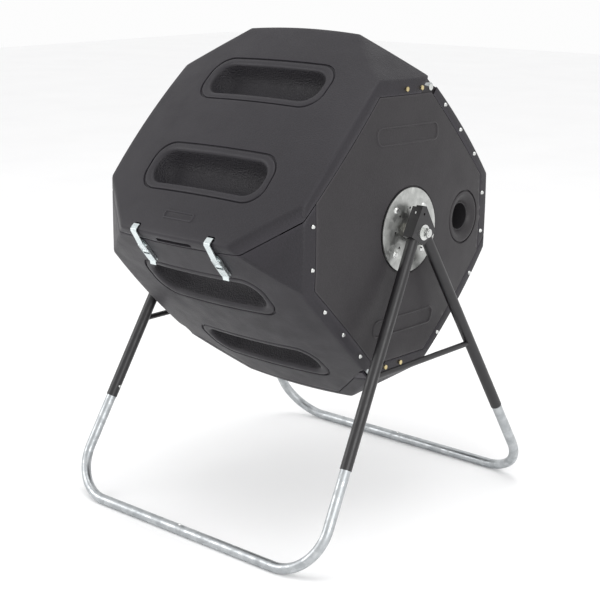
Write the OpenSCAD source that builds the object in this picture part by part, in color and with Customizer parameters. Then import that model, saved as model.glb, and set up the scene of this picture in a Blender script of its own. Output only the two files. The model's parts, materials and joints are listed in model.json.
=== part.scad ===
// Compost tumbler: a crowned, corner-cut drum of four side panels and two end panels on a
// splayed tube stand. It turns on two axle bolts. One side panel is a hinged door with two
// draw latches.
//
// Frame: +X along the axle, -Y to the front (the latch side), +Z up. The origin is on the
// floor, under the middle of the axle.
// Drum frame: the drum is drawn as a cube with its edges along X, Y and Z, and turned 45
// degrees about X. In it the door is the +Z face, and the other panels are -Y, -Z and +Y.

/* [Drum] */
// Distance between two opposite side faces, at their corners
drum_w = 585; // [560:1:600]
// Length between the end faces, at their corners
drum_len = 580; // [570:1:590]
// Length of a cut corner along the axle
cut_len = 131; // [125:1:135]
// Width of a cut corner along the side of the end face
cut_side = 127; // [122:1:132]
// Radius of the crown of every face
crown_r = 2550; // [2400:10:3000]
// Wall thickness of the moulded panels
wall = 6; // [5:0.5:7]
// Turn of the drum about the axle at rest, from edges straight up
drum_turn = -1; // [-3:0.5:3]
// Height of the axle above the floor
axle_z = 678; // [660:1:700]

/* [Seams] */
// How far a door-type panel wraps round its front edge
lip_w = 22; // [18:1:26]
// How far a door-type panel wraps round its hinge edge
hinge_lip_w = 14; // [12:1:18]
// Width of the gap at a seam
seam_gap = 2; // [1.5:0.1:2.5]

/* [Grip recesses] */
// Radius of the round-bottomed recess
bowl_r = 48; // [40:1:50]
// Length of its straight part
bowl_len = 224; // [180:1:240]
// Distance of its middle from the middle of the face
bowl_off = 127; // [120:1:135]

/* [Aeration tube] */
// Distance of the tube from the axle
vent_off = 216; // [200:1:220]
// Inner diameter of the tube
vent_id = 60; // [50:1:66]
// Outer diameter of the tube
vent_od = 66; // [60:1:72]

/* [Door] */
// Height of the hinge pins above the axle
hinge_up = 301; // [299:1:303]
// Distance of the hinge pins behind the axle
hinge_back = 94; // [93:1:96]

/* [Stand] */
// Outer diameter of the upper legs
leg_od = 26; // [25:0.5:28]
// Wall thickness of the tubes
tube_wall = 1.3; // [1.2:0.05:1.5]
// Distance of a foot from the axle plane, front or back
foot_y = 399; // [380:1:420]
// Half the distance between the legs where they meet the floor
foot_x = 383; // [375:1:395]
// Half the distance between the legs at the axle's height
leg_x = 338; // [337:1:340]
// Distance of a leg's line from the axle plane at the axle's height
leg_y = 14; // [12:1:16]
// Radius of the bend at each foot
bend_r = 105; // [80:1:115]
// Depth of the joint between upper and lower leg, below the axle
split_z = -460; // [-480:1:-440]
// Depth of the cross bars below the axle
bar_z = -285; // [-300:1:-270]
// Diameter of the cross bars
bar_od = 13; // [11:0.5:15]

/* [Hidden] */
$fn = 96;
CROWN_FN = 256;
SQ2 = sqrt(2);
half_w = drum_w / 2;
half_l = drum_len / 2;
// Radius of the circle through the corners of a face, and the height of the crown over it
corner_r = sqrt(pow(half_w, 2) + pow(half_w - cut_side, 2));
crown_h = crown_r - sqrt(pow(crown_r, 2) - pow(corner_r, 2));
// Height of a face's surface at a distance r from its middle
function side_top(r) = half_w + crown_h - crown_r + sqrt(pow(crown_r, 2) - r * r);
function end_top(r) = half_l + crown_h - crown_r + sqrt(pow(crown_r, 2) - r * r);
// Long edges are blunted at this distance from the axle
edge_r = 418;
far = 500;

// End octagon: distance of its long sides, and of its short sides times the root of two
oct_long = half_w - lip_w;
oct_short = 412;
hinge_long = half_w - hinge_lip_w;
// The hinge side's corners: the lip's slanted and square limits
corner_sum = 412;
corner_min = 171;
lip_t = 3;
rim_clear = 0.8;
rim_t = 5;

// Hinge pin in the drum frame
pin_y = (hinge_back + hinge_up) / SQ2;
pin_z = (hinge_up - hinge_back) / SQ2;
pin_r = 4;
fit_gap = 0.05;
plate_t = 3;
plate_w = 21;
plate_x = 286;
scallop_r = 14;
rim_in = 240;
strap_bolt_r = 3.2;
screw_r = 2.1;

// Hub
hub_r = 93;
hub_t = 3;
pocket_r = 96;
pocket_x = half_l + crown_h - 3;
boss_x = pocket_x - 9;
hub_bolt_pos = 48;
hub_hole_pcd = 98;
bolt_r = 6.35;
bush_r = 12.5;
bush_out = 325;
bracket_x = 348.5;
bracket_t = 3;
bracket_in = 325.5;

// Feet slide into the legs
foot_od = leg_od - 2 * tube_wall;
button_r = 3.4;

// Leg line, relative to the axle
leg_d = [foot_x - leg_x, foot_y - leg_y, -(axle_z - foot_od / 2)];
leg_n = leg_d / norm(leg_d);
floor_z = foot_od / 2 - axle_z;

// Latches
latch_pos = [-112, 111.5];
latch_f = 230;
latch_w = 24;
latch_tilt = -5.2;
lever_pin = [22, 3.5];
hook_pin = [4, 5.6];
latch_pin_r = 2;
strap_w = 18;
strap_t = 2;

// ---- Frames ----

module at_axle() {
    translate([0, 0, axle_z]) children();
}

module in_drum() {
    at_axle() rotate([45 + drum_turn, 0, 0]) children();
}

// Turns the drum frame so that panel k is its +Z face: 0 door, 1 lower front, 2 lower back,
// 3 upper back
module face(k) {
    rotate([90 * k, 0, 0]) children();
}

// side is 1 at the +X end and -1 at the -X end
module to_side(side) {
    mirror([side < 0 ? 1 : 0, 0, 0]) children();
}

// A point given by its distances behind and above the axle, at the +X end
module on_end(x, back, up) {
    rotate([-45, 0, 0]) translate([x, back, up]) rotate([0, 90, 0]) children();
}

// ---- Drum body ----

function cut_limit(x, inset) =
    half_w * SQ2 + (half_l - cut_len - x) * (cut_side / SQ2) / cut_len
    - inset * norm([1, (cut_side / SQ2) / cut_len]);
function cut_x(r, inset) =
    half_l - cut_len + (cut_limit(half_l - cut_len, inset) - r) * cut_len * SQ2 / cut_side;

// Profile along the axle through two opposite long edges, with its corners cut
module edge_profile(inset) {
    top = edge_r - inset;
    end = half_l + 40;
    x1 = cut_x(top, inset);
    r2 = cut_limit(end, inset);
    polygon([[-x1, top], [x1, top], [end, r2], [end, -r2], [x1, -top], [-x1, -top],
        [-end, -r2], [-end, r2]]);
}

// The whole drum, solid, with every face moved in by inset
module drum_core(inset) {
    intersection() {
        intersection_for(a = [0, 90, 180, 270]) rotate([a, 0, 0])
            translate([0, 0, half_w + crown_h - crown_r])
                rotate([90, 0, 0]) sphere(r = crown_r - inset, $fn = CROWN_FN);
        intersection_for(s = [-1, 1])
            translate([s * (half_l + crown_h - crown_r), 0, 0])
                rotate([0, 0, 90]) sphere(r = crown_r - inset, $fn = CROWN_FN);
        intersection_for(a = [45, -45])
            rotate([a + 90, 0, 0]) linear_extrude(2 * far, center = true) edge_profile(inset);
    }
}

module shell(outer, inner) {
    difference() {
        drum_core(outer);
        drum_core(inner);
    }
}

// The space that a door-type panel fills, in its own face's frame, grown by grow
module door_space(grow) {
    low = oct_long - grow;
    translate([-far, -far, low]) cube([2 * far, far + 160, far]);
    translate([-far, -far, hinge_long - grow]) cube([2 * far, 2 * far, far]);
    intersection() {
        rotate([90, 0, 0]) linear_extrude(2 * far, center = true)
            for (s = [-1, 1]) polygon([
                [s * (corner_sum - corner_min), corner_min - grow],
                [s * far, corner_min - grow], [s * far, far],
                [s * (corner_sum - far - grow * SQ2), far]]);
        rotate([-45, 0, 0]) translate([-far, -far, oct_short / SQ2 - grow])
            cube([2 * far, 2 * far, far]);
    }
}

// The space of an end panel, as an octagon across the axle, grown by grow
module end_space(grow) {
    a = oct_long + grow;
    b = oct_short + grow * SQ2;
    rotate([90, 0, 90]) linear_extrude(2 * far, center = true) polygon([
        [a, b - a], [b - a, a], [a - b, a], [-a, b - a],
        [-a, a - b], [a - b, -a], [b - a, -a], [a, a - b]]);
}

// Two grip recesses in the +Z face: the pans that line them, or the hollows themselves
module bowls(r) {
    for (y = [-bowl_off, bowl_off])
        translate([0, y, side_top(bowl_off) - 5]) {
            rotate([0, 90, 0]) cylinder(r = r, h = bowl_len, center = true);
            for (s = [-1, 1]) translate([s * bowl_len / 2, 0, 0]) sphere(r = r);
        }
}

module recess(t = 4) {
    difference() {
        union() {
            children();
            intersection() {
                bowls(bowl_r + t);
                drum_core(1);
            }
        }
        bowls(bowl_r);
    }
}

// Clear space round a hinge pin at both ends
module pin_scallops(k) {
    face(k) for (s = [-1, 1]) to_side(s) translate([half_l - 18, pin_y, pin_z])
        rotate([0, 90, 0]) cylinder(r = scallop_r, h = 40);
}

// Clear space behind each pin for the strap as it swings up
module strap_notch() {
    face(1) for (s = [-1, 1]) to_side(s) translate([half_l - 18, pin_y - 12, pin_z - 6])
        cube([40, 60, 40]);
}

module hinge_holes(k) {
    face(k) for (s = [-1, 1]) to_side(s) for (b = [-2, 51])
        on_end(half_l - 20, b, hinge_up + 2) cylinder(r = strap_bolt_r, h = 40);
}

// A door-type panel in its own face's frame, k = 0: the face, the cut corners at its hinge
// edge, and lips over both neighbours
module door_type() {
    recess() difference() {
        intersection() {
            difference() {
                drum_core(0);
                drum_core(wall);
                intersection() {
                    drum_core(lip_t);
                    translate([-far, 283.5, 0]) cube([2 * far, far, far]);
                }
            }
            door_space(0);
        }
        pin_scallops(0);
        hinge_holes(0);
    }
}

// Rim under the front lip of a neighbour, and rim under its hinge lip
module front_rim() {
    x = 255;
    low = oct_long - 18;
    intersection() {
        union() {
            intersection() {
                shell(8.5, 11.5);
                translate([-x, low, 0]) cube([2 * x, 26, far]);
            }
            intersection() {
                shell(wall - 0.2, 9);
                translate([-x, low, 0]) cube([2 * x, 10, far]);
            }
        }
        translate([-far, -far, 205]) cube([2 * far, 2 * far, far]);
    }
}

module hinge_rim() {
    top = hinge_long + 4;
    low = hinge_long - 18;
    x_end = 262;
    step = 18;
    intersection() {
        shell(lip_t + rim_clear, lip_t + rim_clear + rim_t);
        mirror([0, 1, 0]) translate([0, 0, 200]) linear_extrude(far) polygon([
            [-x_end, corner_sum - step - x_end + 17], [low - corner_sum + step, low],
            [corner_sum - step - low, low], [x_end, corner_sum - step - x_end + 17],
            [x_end, corner_sum + step - x_end], [corner_sum + step - top, top],
            [top - corner_sum - step, top], [-x_end, corner_sum + step - x_end]]);
    }
}

// A fixed panel in its own face's frame: the face and the cut corners at its +Y edge
module fixed_type(k) {
    recess() {
        difference() {
            intersection() {
                shell(0, wall);
                union() {
                    translate([-far, -far, oct_long]) cube([2 * far, 2 * far, far]);
                    rotate([-45, 0, 0]) translate([-far, -far, oct_short / SQ2])
                        cube([2 * far, 2 * far, far]);
                }
                translate([-far, -far, 0]) cube([2 * far, 2 * far, far]);
            }
            face(-1) door_space(seam_gap);
            face(1) door_space(seam_gap);
            pin_scallops(1);
            strap_notch();
            screws_at(k) screw_bore();
        }
        front_rim();
        hinge_rim();
    }
}

module slot_cut(x, w, y0, y1) {
    translate([x - w / 2, y0, half_w - 20]) cube([w, y1 - y0, 60]);
}

module door_panel() {
    color("#48464a") in_drum() difference() {
        door_type();
        for (x = latch_pos) slot_cut(x, 22, -288.8, -276.5);
        face(1) translate([-52, oct_long - 4, half_w - 14]) cube([104, 10, 40]);
    }
}

module panel_lower_back() {
    color("#48464a") in_drum() face(2) difference() {
        door_type();
        screws_at(2) screw_bore();
    }
}

module panel_lower_front() {
    color("#48464a") in_drum() face(1) fixed_type(1);
}

module panel_upper_back() {
    color("#48464a") in_drum() face(3) fixed_type(3);
}

// ---- End panels ----

// Drawn at the +X end
module end_panel() {
    vent_top = end_top(vent_off);
    difference() {
        union() {
            intersection() {
                shell(0, wall);
                end_space(0);
                translate([150, -far, -far]) cube([far, 2 * far, 2 * far]);
            }
            end_rim();
            intersection() {
                translate([boss_x, 0, 0]) rotate([0, 90, 0]) cylinder(r = pocket_r + 6, h = 30);
                drum_core(1);
            }
            rotate([-45, 0, 0]) intersection() {
                translate([vent_top - 26, vent_off, 0]) rotate([0, 90, 0])
                    cylinder(r = vent_od / 2 + 4, h = 40);
                rotate([45, 0, 0]) drum_core(1);
            }
        }
        translate([pocket_x, 0, 0]) rotate([0, 90, 0]) cylinder(r = pocket_r, h = 30);
        translate([boss_x - 5, 0, 0]) rotate([0, 90, 0]) cylinder(r = bush_r + 0.1, h = 40);
        rotate([-45, 0, 0]) translate([vent_top, vent_off, 0]) rotate([0, 90, 0]) {
            translate([0, 0, -14]) cylinder(r1 = vent_id / 2, r2 = vent_id / 2 + 15, h = 15);
            translate([0, 0, -40]) cylinder(r = vent_id / 2, h = 60);
            translate([0, 0, -40]) cylinder(r = vent_od / 2 + 0.1, h = 26);
        }
        hub_bolt_holes();
        for (k = [1, 2, 3]) face(k) screws_at(k) screw_bore();
    }
}

// Layer under the end face alone
module end_layer(outer, inner) {
    x = half_l + crown_h - crown_r;
    difference() {
        intersection() {
            drum_core(outer);
            translate([150, -far, -far]) cube([far, 2 * far, 2 * far]);
        }
        translate([x, 0, 0]) rotate([0, 0, 90]) sphere(r = crown_r - inner, $fn = CROWN_FN);
        rotate([0, 90, 0]) cylinder(r = rim_in, h = far);
    }
}

// Hidden rim of an end panel, under the flanges of the side panels
module end_rim() {
    a = oct_long + 15;
    difference() {
        intersection() {
            end_layer(wall + 0.6, wall + 4);
            translate([0, -a, -a]) cube([far, 2 * a, 2 * a]);
            rotate([45, 0, 0]) cube([2 * far, 2 * 305, 2 * 290], center = true);
        }
        for (k = [0, 2]) face(k) {
            translate([200, oct_long - 3, 50]) cube([200, 40, 130]);
            rotate([-45, 0, 0]) translate([200, -16, hinge_up - 14]) cube([200, 128, 60]);
        }
    }
    intersection() {
        end_layer(wall - 0.2, wall + 1);
        end_space(-2);
    }
}

module hub_bolt_holes() {
    rotate([-45, 0, 0]) for (y = [-1, 1]) for (z = [-1, 1])
        translate([boss_x - 5, y * hub_bolt_pos, z * hub_bolt_pos])
            rotate([0, 90, 0]) cylinder(r = 4.1, h = 40);
}

module end_panel_right() {
    color("#474447") in_drum() end_panel();
}

module end_panel_left() {
    color("#474447") in_drum() mirror([1, 0, 0]) end_panel();
}

module aeration_tube() {
    len = 2 * (end_top(vent_off) - 14);
    rows = 9;
    pitch = 55;
    color("#2c2c2e") in_drum() rotate([-45, 0, 0]) translate([0, vent_off, 0])
        difference() {
            rotate([0, 90, 0]) cylinder(r = vent_od / 2, h = len, center = true);
            rotate([0, 90, 0]) cylinder(r = vent_id / 2, h = len + 2, center = true);
            for (i = [0 : rows - 1]) translate([(i - (rows - 1) / 2) * pitch, 0, 0])
                for (a = [0, 90]) rotate([a + 45, 0, 0])
                    cylinder(r = 4, h = vent_od + 4, center = true);
        }
}

// ---- Hub ----

module hub_plate() {
    difference() {
        translate([pocket_x, 0, 0]) rotate([0, 90, 0]) cylinder(r = hub_r, h = hub_t);
        translate([pocket_x - 1, 0, 0]) rotate([0, 90, 0]) cylinder(r = bush_r + 0.1, h = 9);
        hub_bolt_holes();
        rotate([-45, 0, 0]) for (i = [0 : 7]) rotate([i * 45, 0, 0])
            translate([pocket_x - 1, 0, hub_hole_pcd / 2]) rotate([0, 90, 0])
                cylinder(r = 3, h = 9);
    }
}

module hub_plate_right() {
    color("#c9cbc8") in_drum() hub_plate();
}

module hub_plate_left() {
    color("#c9cbc8") in_drum() mirror([1, 0, 0]) hub_plate();
}

// Domed head on top and a nut inside
module hub_bolts() {
    top = pocket_x + hub_t;
    color("#d8dad6") in_drum() for (s = [-1, 1]) to_side(s) rotate([-45, 0, 0])
        for (y = [-1, 1]) for (z = [-1, 1])
            translate([0, y * hub_bolt_pos, z * hub_bolt_pos]) rotate([0, 90, 0]) {
                translate([0, 0, boss_x - 8]) cylinder(r = 4, h = top - boss_x + 8);
                translate([0, 0, top]) cylinder(r1 = 7.5, r2 = 5, h = 3.5);
                translate([0, 0, boss_x - 6]) cylinder(r = 7.5, h = 6, $fn = 6);
            }
}

module hub_bushing() {
    rotate([0, 90, 0]) difference() {
        union() {
            translate([0, 0, boss_x]) cylinder(r = bush_r, h = bush_out - boss_x);
            translate([0, 0, boss_x - 3]) cylinder(r = 20, h = 3);
        }
        translate([0, 0, boss_x - 9]) cylinder(r = bolt_r + fit_gap, h = 60);
    }
}

module hub_bushing_right() {
    color("#e8e6df") in_drum() hub_bushing();
}

module hub_bushing_left() {
    color("#e8e6df") in_drum() mirror([1, 0, 0]) hub_bushing();
}

// ---- Hinges and corner straps ----

// Strap behind the corner flange, from its first bolt to the pin, at the +X end
module corner_strap(hole) {
    rotate([-45, 0, 0]) translate([plate_x - plate_t, 0, 0]) rotate([90, 0, 90])
        linear_extrude(plate_t) difference() {
            union() {
                translate([-12, hinge_up - plate_w / 2])
                    square([hinge_back + 12, plate_w]);
                translate([hinge_back, hinge_up]) circle(r = plate_w / 2);
            }
            for (b = [-2, 51]) translate([b, hinge_up + 2]) circle(r = strap_bolt_r);
            if (hole > 0) translate([hinge_back, hinge_up]) circle(r = hole);
        }
}

module door_hinge_straps() {
    color("#c9cbc8") in_drum() for (s = [-1, 1]) to_side(s) corner_strap(pin_r + fit_gap);
}

module corner_straps() {
    color("#c9cbc8") in_drum() face(2) for (s = [-1, 1]) to_side(s) corner_strap(0);
}

// Bolts through a corner flange and its strap
module strap_bolts() {
    for (s = [-1, 1]) to_side(s) for (b = [-2, 51]) {
        top = end_top(norm([b, hinge_up]));
        on_end(0, b, hinge_up + 2) {
            translate([0, 0, plate_x - plate_t - 6]) cylinder(r = strap_bolt_r, h = top - plate_x + 11);
            translate([0, 0, top + 0.8]) cylinder(r = 5.5, h = 3, $fn = 6);
            translate([0, 0, plate_x - plate_t - 5]) cylinder(r = 6.5, h = 5, $fn = 6);
        }
    }
}

module door_hinge_bolts() {
    color("#d9bf7a") in_drum() strap_bolts();
}

module corner_bolts() {
    color("#d9bf7a") in_drum() face(2) strap_bolts();
}

// Fixed half of each hinge, under the flange of the upper back panel
module hinge_brackets() {
    x = plate_x - 2 * plate_t - 0.3;
    color("#c9cbc8") in_drum() for (s = [-1, 1]) to_side(s)
        translate([x, 0, 0]) rotate([90, 0, 90]) linear_extrude(plate_t) difference() {
            union() {
                translate([pin_y, pin_z]) circle(r = 9.5);
                translate([pin_y - 9.5, 72]) square([19, pin_z - 72]);
            }
            translate([pin_y, pin_z]) circle(r = pin_r);
            translate([283, 85]) circle(r = screw_r);
        }
}

module hinge_pins() {
    x0 = plate_x - 2 * plate_t - 3.5;
    color("#d8dad6") in_drum() for (s = [-1, 1]) to_side(s)
        translate([0, pin_y, pin_z]) rotate([0, 90, 0]) {
            translate([0, 0, x0]) cylinder(r = pin_r, h = plate_x + 0.5 - x0);
            translate([0, 0, plate_x + 0.3]) cylinder(r = 7, h = 2.4);
            translate([0, 0, x0]) cylinder(r = 6.5, h = 3);
        }
}

// ---- Panel screws ----

// Puts children at the screws of panel k, in its own face's frame, with +Z out of each end
module screws_at(k) {
    for (s = [-1, 1]) to_side(s) {
        for (v = [-85, 0, 85]) translate([0, v, 283]) rotate([0, 90, 0]) children();
        if (k != 2) for (u = [-45, 45]) rotate([-45, 0, 0])
            translate([0, u, 300]) rotate([0, 90, 0]) children();
    }
}

module screw_bore() {
    cylinder(r = screw_r, h = far);
}

module panel_screw(x) {
    translate([0, 0, x - 17]) cylinder(r = screw_r, h = 18.5);
    translate([0, 0, x + 0.7]) cylinder(r1 = 4.8, r2 = 3.2, h = 2.6);
}

module panel_screws() {
    color("#d8dad6") in_drum() for (k = [1, 2, 3]) face(k) {
        for (s = [-1, 1]) to_side(s) {
            for (v = [-85, 0, 85]) translate([0, v, 283]) rotate([0, 90, 0])
                panel_screw(end_top(norm([v, 283])));
            if (k != 2) for (u = [-45, 45]) rotate([-45, 0, 0]) translate([0, u, 300])
                rotate([0, 90, 0]) panel_screw(end_top(norm([u, 300])));
        }
    }
}

// ---- Latches ----

// Latch frame on the lower front face: +Y towards the door, +Z out of the face
module at_latch(i) {
    h = side_top(norm([latch_pos[i], latch_f]));
    in_drum() face(1) translate([latch_pos[i], latch_f, h]) rotate([latch_tilt, 0, 0])
        children();
}

// Outline in the latch's side view, drawn w wide
module side_slab(w) {
    rotate([90, 0, 90]) linear_extrude(w, center = true) children();
}

module stroke(pts, t) {
    for (i = [0 : len(pts) - 2]) hull() {
        translate(pts[i]) circle(d = t, $fn = 24);
        translate(pts[i + 1]) circle(d = t, $fn = 24);
    }
}

module latch_base(i) {
    ear_x = 9.75;
    color("#8f9490") at_latch(i) {
        translate([-10.2, -28, 0.5]) cube([20.4, 62, 1.3]);
        for (s = [-1, 1]) translate([s * ear_x, 0, 0]) side_slab(0.9)
            polygon([[13, 1], [31, 1], [27, 6.2], [18, 6.2]]);
        translate([0, lever_pin[0], lever_pin[1]]) rotate([0, 90, 0])
            cylinder(r = latch_pin_r, h = latch_w + 2.4, center = true);
        for (y = [-22, -4]) translate([0, y, 1.7]) cylinder(r1 = 3.4, r2 = 2.4, h = 1.2);
    }
}

module latch_lever(i) {
    wall_x = latch_w / 2 - 0.8;
    color("#c4cac8") at_latch(i) {
        for (s = [-1, 1]) translate([s * wall_x, 0, 0]) side_slab(1.6) difference() {
            union() {
                polygon([[-27, 6.4], [-20, 2.6], [22, 0.6], [25, 3.6], [23.4, 8.2], [21, 8.6],
                    [-27, 8.6]]);
                translate(lever_pin) circle(r = latch_pin_r + 1.1, $fn = 48);
            }
            translate(lever_pin) circle(r = latch_pin_r + fit_gap, $fn = 48);
        }
        translate([-latch_w / 2, -27, 6.8]) cube([latch_w, 24, 1.8]);
        side_slab(18) polygon([[-26, 6.8], [-26, 8.6], [-34, 12.6], [-35, 11]]);
        translate([0, hook_pin[0], hook_pin[1]]) rotate([0, 90, 0])
            cylinder(r = latch_pin_r, h = latch_w - 1, center = true);
    }
}

// Strap from its pin in the lever, over the front edge, into the slot in the door
module latch_hook(i) {
    p = hook_pin;
    route = [p, [12, 7.8], [30, 7.2], [46, 4.9], [59, 3.1], [65.6, 2.4], [68.7, -0.2],
        [69.8, -7.4], [69.6, -14.1], [66.8, -15.4]];
    color("#dfe5e4") at_latch(i) side_slab(strap_w) difference() {
        union() {
            stroke(route, strap_t);
            translate(p) circle(r = 3.5, $fn = 48);
        }
        translate(p) circle(r = latch_pin_r + fit_gap, $fn = 48);
    }
}

module latch_base_right() { latch_base(1); }
module latch_base_left() { latch_base(0); }
module latch_lever_right() { latch_lever(1); }
module latch_lever_left() { latch_lever(0); }
module latch_hook_right() { latch_hook(1); }
module latch_hook_left() { latch_hook(0); }

// ---- Stand ----

// Bracket outline across the axle, folded from plate: sloped sides along the legs
BRACKET = [[-7.5, 56], [7.5, 56], [43, -4], [0, -28.8], [-43, -4]];

module edge_bar(a, b, t) {
    d = (b - a) / norm(b - a);
    n = [d[1], -d[0]] * t;
    polygon([a, b, b + n, a + n]);
}

module hub_bracket(side) {
    color("#2b2a2c") at_axle() to_side(side) difference() {
        union() {
            translate([bracket_x, 0, 0]) rotate([90, 0, 90]) linear_extrude(bracket_t)
                polygon(BRACKET);
            translate([bracket_in, 0, 0]) rotate([90, 0, 90])
                linear_extrude(bracket_x - bracket_in) for (i = [1 : 4])
                    edge_bar(BRACKET[i], BRACKET[(i + 1) % 5], bracket_t);
        }
        translate([bracket_x - 1, 0, 0]) rotate([0, 90, 0])
            cylinder(r = bolt_r + fit_gap, h = 9);
        translate([bracket_x - 1, 0, 40]) rotate([0, 90, 0]) cylinder(r = 3, h = 9);
        rotate([90, 0, 0]) translate([bracket_in + 12, 44, 0])
            cylinder(r = 3, h = 60, center = true);
    }
}

module axle_bolt(side) {
    color("#cfd2cf") at_axle() to_side(side) rotate([0, 90, 0]) {
        translate([0, 0, boss_x - 3.6]) cylinder(r = bolt_r, h = 368 - boss_x + 3.6);
        translate([0, 0, boss_x - 11.6]) cylinder(r = 11, h = 8, $fn = 6);
        translate([0, 0, bracket_x + bracket_t]) translate([0, 0, -bracket_t])
            cylinder(r = bolt_r, h = bracket_t);
    }
}

module axle_spacers() {
    color("#cfd2cf") at_axle() for (s = [-1, 1]) to_side(s) rotate([0, 90, 0])
        difference() {
            translate([0, 0, bush_out + 0.5])
                cylinder(r = 11, h = bracket_x - bush_out - 0.5);
            translate([0, 0, bush_out]) cylinder(r = bolt_r + 0.03, h = 40);
        }
}

module axle_washers() {
    color("#dfe2df") at_axle() for (s = [-1, 1]) to_side(s) rotate([0, 90, 0])
        difference() {
            translate([0, 0, bracket_x + bracket_t]) cylinder(r = 17, h = 2);
            translate([0, 0, bracket_x]) cylinder(r = bolt_r + 0.03, h = 20);
        }
}

module axle_nuts() {
    color("#dfe2df") at_axle() for (s = [-1, 1]) to_side(s) rotate([0, 90, 0])
        difference() {
            translate([0, 0, bracket_x + bracket_t + 2]) {
                cylinder(r = 11, h = 9, $fn = 6);
                cylinder(r = 9.5, h = 12);
            }
            translate([0, 0, bracket_x]) cylinder(r = bolt_r + 0.03, h = 30);
        }
}

// Rotation that turns +Z onto the leg's direction, and +X inwards
function leg_matrix() = let (
    e3 = leg_n,
    e1 = cross([0, 1, 0], e3) / norm(cross([0, 1, 0], e3)),
    e2 = cross(e3, e1)) [
    [e1[0], e2[0], e3[0], leg_x], [e1[1], e2[1], e3[1], leg_y], [e1[2], e2[2], e3[2], 0],
    [0, 0, 0, 1]];

module to_corner(side, back) {
    at_axle() mirror([side < 0 ? 1 : 0, 0, 0]) mirror([0, back < 0 ? 1 : 0, 0]) children();
}

// Moves children from the +Z axis to a leg's line, starting at the axle's height
module on_leg(side, back) {
    to_corner(side, back) multmatrix(leg_matrix()) children();
}

// Length along a leg from the axle's height to a depth z below it
function leg_at(z) = z / leg_n[2];

// Everything above the line where a leg meets its bracket
module bracket_side(side, back) {
    to_corner(side, back) translate([0, BRACKET[3][0], BRACKET[3][1]])
            rotate([atan2(BRACKET[2][1] - BRACKET[3][1], BRACKET[2][0] - BRACKET[3][0]), 0, 0])
                translate([200, -60, 0]) cube([300, 160, 120]);
}

// Hole on the inner side, for the button that locks the foot in the leg
module button_hole(side, back) {
    on_leg(side, back) translate([0, 0, leg_at(split_z) - 28]) rotate([0, 90, 0])
        cylinder(r = button_r, h = 30);
}

module upper_leg(side, back) {
    color("#2b2a2c") difference() {
        on_leg(side, back) difference() {
            cylinder(d = leg_od, h = leg_at(split_z));
            translate([0, 0, -1]) cylinder(d = leg_od - 2 * tube_wall, h = 900);
        }
        button_hole(side, back);
        bracket_side(side, back);
    }
}

module cross_bar(side) {
    x = leg_x + (foot_x - leg_x) * bar_z / floor_z;
    y = leg_y + (foot_y - leg_y) * bar_z / floor_z;
    color("#2b2a2c") difference() {
        at_axle() to_side(side) translate([x, 0, bar_z]) rotate([90, 0, 0])
            cylinder(d = bar_od, h = 2 * y, center = true);
        for (b = [-1, 1]) on_leg(side, b) cylinder(d = leg_od, h = 900);
    }
}

// Corner where the leg's line meets the foot's line, and the bend that rounds it
foot_corner = [foot_x, foot_y, floor_z];
in_dir = [-1, 0, 0];
open_angle = acos(-leg_n * in_dir);
bend_tangent = bend_r / tan(open_angle / 2);
bend_mid = foot_corner + (in_dir - leg_n) / norm(in_dir - leg_n) * bend_r / sin(open_angle / 2);
bend_start = foot_corner - leg_n * bend_tangent;
bend_u = (bend_start - bend_mid) / bend_r;
bend_w = cross(bend_u, leg_n);
overlap_len = 45;
shank_len = norm(bend_start - [leg_x, leg_y, 0]) - leg_at(split_z) + overlap_len;

bend_frame = [
    [bend_u[0], leg_n[0], bend_w[0], bend_mid[0]],
    [bend_u[1], leg_n[1], bend_w[1], bend_mid[1]],
    [bend_u[2], leg_n[2], bend_w[2], bend_mid[2]], [0, 0, 0, 1]];
floor_len = foot_x - bend_tangent - 0.3;

// Line of a foot tube, d thick: shank, bend and floor part, both ends run on by more
module foot_line(d, more) {
    multmatrix(bend_frame) {
        translate([bend_r, 1, 0]) rotate([90, 0, 0])
            cylinder(d = d, h = shank_len + more + 1, $fn = 64);
        rotate_extrude(angle = 180 - open_angle) translate([bend_r, 0])
            circle(d = d - 0.5, $fn = 64);
        rotate([0, 0, 180 - open_angle]) translate([bend_r, -1, 0]) rotate([-90, 0, 0])
            cylinder(d = d, h = floor_len + more + 1, $fn = 64);
    }
}

module foot(side, back) {
    color("#b9bdbd") difference() {
        to_corner(side, back) difference() {
            foot_line(foot_od, 0);
            foot_line(foot_od - 2 * tube_wall, 1);
        }
        button_hole(side, back);
        foot_screw_at(back) translate([0, 0, -3]) cylinder(r = screw_r, h = 5);
    }
}

// Top of a foot tube, beside its middle joint
module foot_screw_at(back) {
    at_axle() translate([-12, back * foot_y, floor_z + foot_od / 2]) children();
}

module foot_couplers() {
    color("#9ea2a2") at_axle() for (b = [-1, 1]) translate([0, b * foot_y, floor_z])
        rotate([0, 90, 0]) cylinder(d = foot_od - 2 * tube_wall, h = 90, center = true);
}

module foot_screws() {
    color("#d8dad6") for (b = [-1, 1]) foot_screw_at(b) {
        translate([0, 0, -1.2]) cylinder(r = screw_r, h = 2);
        translate([0, 0, 0.05]) cylinder(r1 = 3.6, r2 = 2.4, h = 2.4);
    }
}

module leg_buttons() {
    color("#cfd2cf") for (s = [-1, 1]) for (b = [-1, 1]) on_leg(s, b)
        translate([0, 0, leg_at(split_z) - 28]) rotate([0, 90, 0]) {
            translate([0, 0, 8]) cylinder(r = button_r, h = leg_od / 2 - 7);
            translate([0, 0, leg_od / 2 + 1]) cylinder(r1 = button_r, r2 = 2, h = 1.4);
        }
}

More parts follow.
